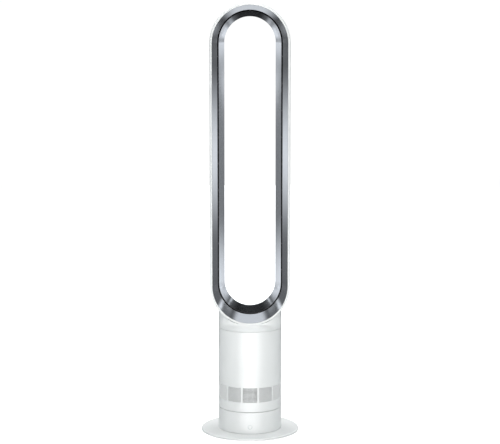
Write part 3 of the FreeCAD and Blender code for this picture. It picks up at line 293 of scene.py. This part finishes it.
# ---------------------------------------------------------------- studio
def world_light():
    """White to the camera, a cool fill that falls off to the sides, greys for reflections."""
    world = bpy.data.worlds.new("studio")
    bpy.context.scene.world = world
    t = Tree(world)
    path = t.add("ShaderNodeLightPath")
    way = t.add("ShaderNodeTexCoord").outputs["Generated"]
    way = t.add("ShaderNodeSeparateXYZ", Vector=way).outputs
    height = way["Z"]
    sides = t.math("MULTIPLY", t.math("ABSOLUTE", way["X"]), FILL * SIDE_FALL)
    up = t.add("ShaderNodeMapRange", Value=height, From_Min=-1.0, From_Max=1.0).outputs[0]
    grades = t.ramp(up, [(0.0, (0.30, 0.31, 0.32)), (0.46, (0.72, 0.76, 0.78)),
                         (0.60, (0.82, 0.86, 0.88)), (1.0, (0.95, 0.98, 1.0))])
    seen = t.add("ShaderNodeBackground", Color=(1, 1, 1, 1), Strength=BACKDROP)
    fill = t.add("ShaderNodeBackground", Color=FILL_TINT, Strength=t.math("SUBTRACT", FILL, sides))
    mirrored = t.add("ShaderNodeBackground", Color=grades, Strength=MIRRORED)
    inner = t.add("ShaderNodeMixShader")
    t.set(inner, "0", path.outputs["Is Glossy Ray"])
    t.set(inner, "1", fill.outputs[0])
    t.set(inner, "2", mirrored.outputs[0])
    outer = t.add("ShaderNodeMixShader")
    t.set(outer, "0", path.outputs["Is Camera Ray"])
    t.set(outer, "1", inner.outputs[0])
    t.set(outer, "2", seen.outputs[0])
    t.set(t.add("ShaderNodeOutputWorld"), "Surface", outer.outputs[0])


def quad(name, corners, material):
    mesh = bpy.data.meshes.new(name)
    mesh.from_pydata(corners, [], [tuple(range(len(corners)))])
    mesh.materials.append(material)
    piece = bpy.data.objects.new(name, mesh)
    bpy.context.scene.collection.objects.link(piece)
    return piece


def card(name, y, half_w, z, material):
    """Upright oblong facing along Y."""
    return quad(name, [(-half_w, y, z[0]), (half_w, y, z[0]), (half_w, y, z[1]),
                       (-half_w, y, z[1])], material)


def floor():
    """Plain white floor that throws only a little light back up."""
    material = bpy.data.materials.new("floor")
    t = Tree(material)
    coords = t.add("ShaderNodeTexCoord").outputs["Object"]
    tone = t.ramp(t.noise(coords, 3.0), [(0.3, grey(0.80)), (0.7, grey(0.82))])
    seen = t.add("ShaderNodeLightPath").outputs["Is Camera Ray"]
    glow = t.math("ADD", t.math("MULTIPLY", seen, FLOOR_GLOW - FLOOR_BOUNCE), FLOOR_BOUNCE)
    shader = t.add("ShaderNodeBsdfPrincipled", Base_Color=tone, Roughness=0.9,
                   Emission_Color=(1, 1, 1, 1), Emission_Strength=glow)
    t.set(t.add("ShaderNodeOutputMaterial"), "Surface", shader.outputs[0])
    corners = [(FLOOR_RADIUS * math.cos(a), FLOOR_RADIUS * math.sin(a), -FLOOR_DROP)
               for a in (2 * math.pi * i / 48 for i in range(48))]
    piece = quad("floor", corners, material)
    piece.visible_glossy = False


def glow_patch(t, x, z, at, reach, tilt, core, level):
    """Soft oval of light: even inside its core, fading to nothing at its reach."""
    c, s = math.cos(math.radians(tilt)), math.sin(math.radians(tilt))
    across, down, up = reach
    dx, dz = t.math("SUBTRACT", x, at[0]), t.math("SUBTRACT", z, at[1])
    u = t.math("ADD", t.math("MULTIPLY", dx, c / across), t.math("MULTIPLY", dz, s / across))
    v = t.math("ADD", t.math("MULTIPLY", dx, -s), t.math("MULTIPLY", dz, c))
    v = t.math("MAXIMUM", t.math("MULTIPLY", v, 1 / up), t.math("MULTIPLY", v, -1 / down))
    squares = t.math("ADD", t.math("MULTIPLY", u, u), t.math("MULTIPLY", v, v))
    fade = t.add("ShaderNodeMapRange", {"interpolation_type": "SMOOTHSTEP"})
    t.set(fade, "Value", t.math("SQRT", squares))
    for name, value in (("From Min", 1.0), ("From Max", core), ("To Max", level)):
        t.set(fade, name, value)
    return fade.outputs[0]


# soft lights on the reflector: middle (|x|, z), reach (across, down, up), tilt, core, level
PATCHES = [
    ((0.62, 0.50), (0.45, 0.62, 0.75), 0, 0.5, 0.11),      # wide dim glow on each side
    ((0.71, 0.55), (0.12, 0.50, 0.50), 0, 0.6, 0.08),
    ((0.43, 0.555), (0.105, 0.30, 0.29), 0, 0.0, 0.73),    # broad light on the front band
    ((0.43, 0.20), (0.10, 0.25, 0.14), 0, 0.3, 0.035),
    ((0.00, 0.53), (0.38, 0.18, 0.18), 0, 0.35, 0.67),     # head light of the upper bend
    ((0.00, 1.02), (0.52, 0.26, 0.26), 0, 0.6, 0.67),      # and of the lower one
    ((0.36, 0.885), (0.10, 0.035, 0.035), -40, 0.3, 0.16),
    ((0.62, 0.64), (0.27, 0.05, 0.05), 63, 0.3, 0.92),     # lights on the rear band
    ((0.71, 0.90), (0.13, 0.11, 0.05), 0, 0.2, 0.66),
    ((0.84, 0.40), (0.07, 0.40, 0.52), 0, 0.2, 0.78),
    ((0.74, 0.12), (0.14, 0.20, 0.25), 0, 0.0, 0.87),
    ((0.80, 0.27), (0.05, 0.12, 0.12), 0, 0.0, 0.45),
]
PATCH_BASE = 0.02


def reflector():
    """Upright card of soft light patches, seen in reflections only."""
    material = bpy.data.materials.new("reflector")
    t = Tree(material)
    coords = t.add("ShaderNodeTexCoord").outputs["Object"]
    split = t.add("ShaderNodeSeparateXYZ", Vector=coords)
    x, z = t.math("ABSOLUTE", split.outputs["X"]), split.outputs["Z"]
    total = PATCH_BASE
    for patch in PATCHES:
        total = t.math("ADD", glow_patch(t, x, z, *patch), total)
    glow = t.add("ShaderNodeEmission", Color=(0.95, 0.99, 1.04, 1.0), Strength=total)
    t.set(t.add("ShaderNodeOutputMaterial"), "Surface", glow.outputs[0])
    gloss_only(card("reflector", REFLECTOR_Y, REFLECTOR_HALF_W, (0.0, REFLECTOR_H), material))


def front_card():
    """Wide low card in front that lays the soft middle highlight on the white body."""
    material = bpy.data.materials.new("front_card")
    t = Tree(material)
    coords = t.add("ShaderNodeTexCoord").outputs["Object"]
    split = t.add("ShaderNodeSeparateXYZ", Vector=coords)
    level = glow_patch(t, split.outputs["X"], split.outputs["Z"], FRONT_GLOW_AT,
                       FRONT_GLOW_REACH, 0, 0.1, FRONT_CARD)
    glow = t.add("ShaderNodeEmission", Strength=level)
    t.set(t.add("ShaderNodeOutputMaterial"), "Surface", glow.outputs[0])
    gloss_only(card("front_card", FRONT_CARD_Y, FRONT_CARD_HALF_W, FRONT_CARD_Z, material))


def gloss_only(piece):
    piece.visible_camera = False
    piece.visible_diffuse = False
    piece.visible_transmission = False
    piece.visible_shadow = False


def area_light(name, place, aim, size, power, colour=(1, 1, 1)):
    lamp = bpy.data.lights.new(name, "AREA")
    lamp.shape = "RECTANGLE"
    lamp.size, lamp.size_y = size
    lamp.energy = power
    lamp.color = colour
    thing = bpy.data.objects.new(name, lamp)
    bpy.context.scene.collection.objects.link(thing)
    thing.location = place
    thing.rotation_euler = (Vector(aim) - Vector(place)).to_track_quat("-Z", "Y").to_euler()
    thing.visible_camera = False
    return thing


def camera():
    lens = bpy.data.cameras.new("camera")
    lens.lens = FOCAL_MM
    lens.sensor_width = 36.0
    lens.sensor_fit = "HORIZONTAL"
    lens.clip_end = 50.0
    thing = bpy.data.objects.new("camera", lens)
    bpy.context.scene.collection.objects.link(thing)
    thing.location = (0.0, -CAMERA_DISTANCE, CAMERA_HEIGHT)
    thing.rotation_euler = (math.pi / 2 - CAMERA_PITCH, 0.0, 0.0)
    bpy.context.scene.camera = thing


world_light()
floor()
reflector()
front_card()
area_light("key", KEY_PLACE, KEY_AIM, KEY_SIZE, KEY_POWER, KEY_TINT)
top = area_light("top", TOP_PLACE, TOP_AIM, TOP_SIZE, TOP_POWER)
top.visible_glossy = False
camera()
bpy.context.scene.view_settings.view_transform = "Standard"
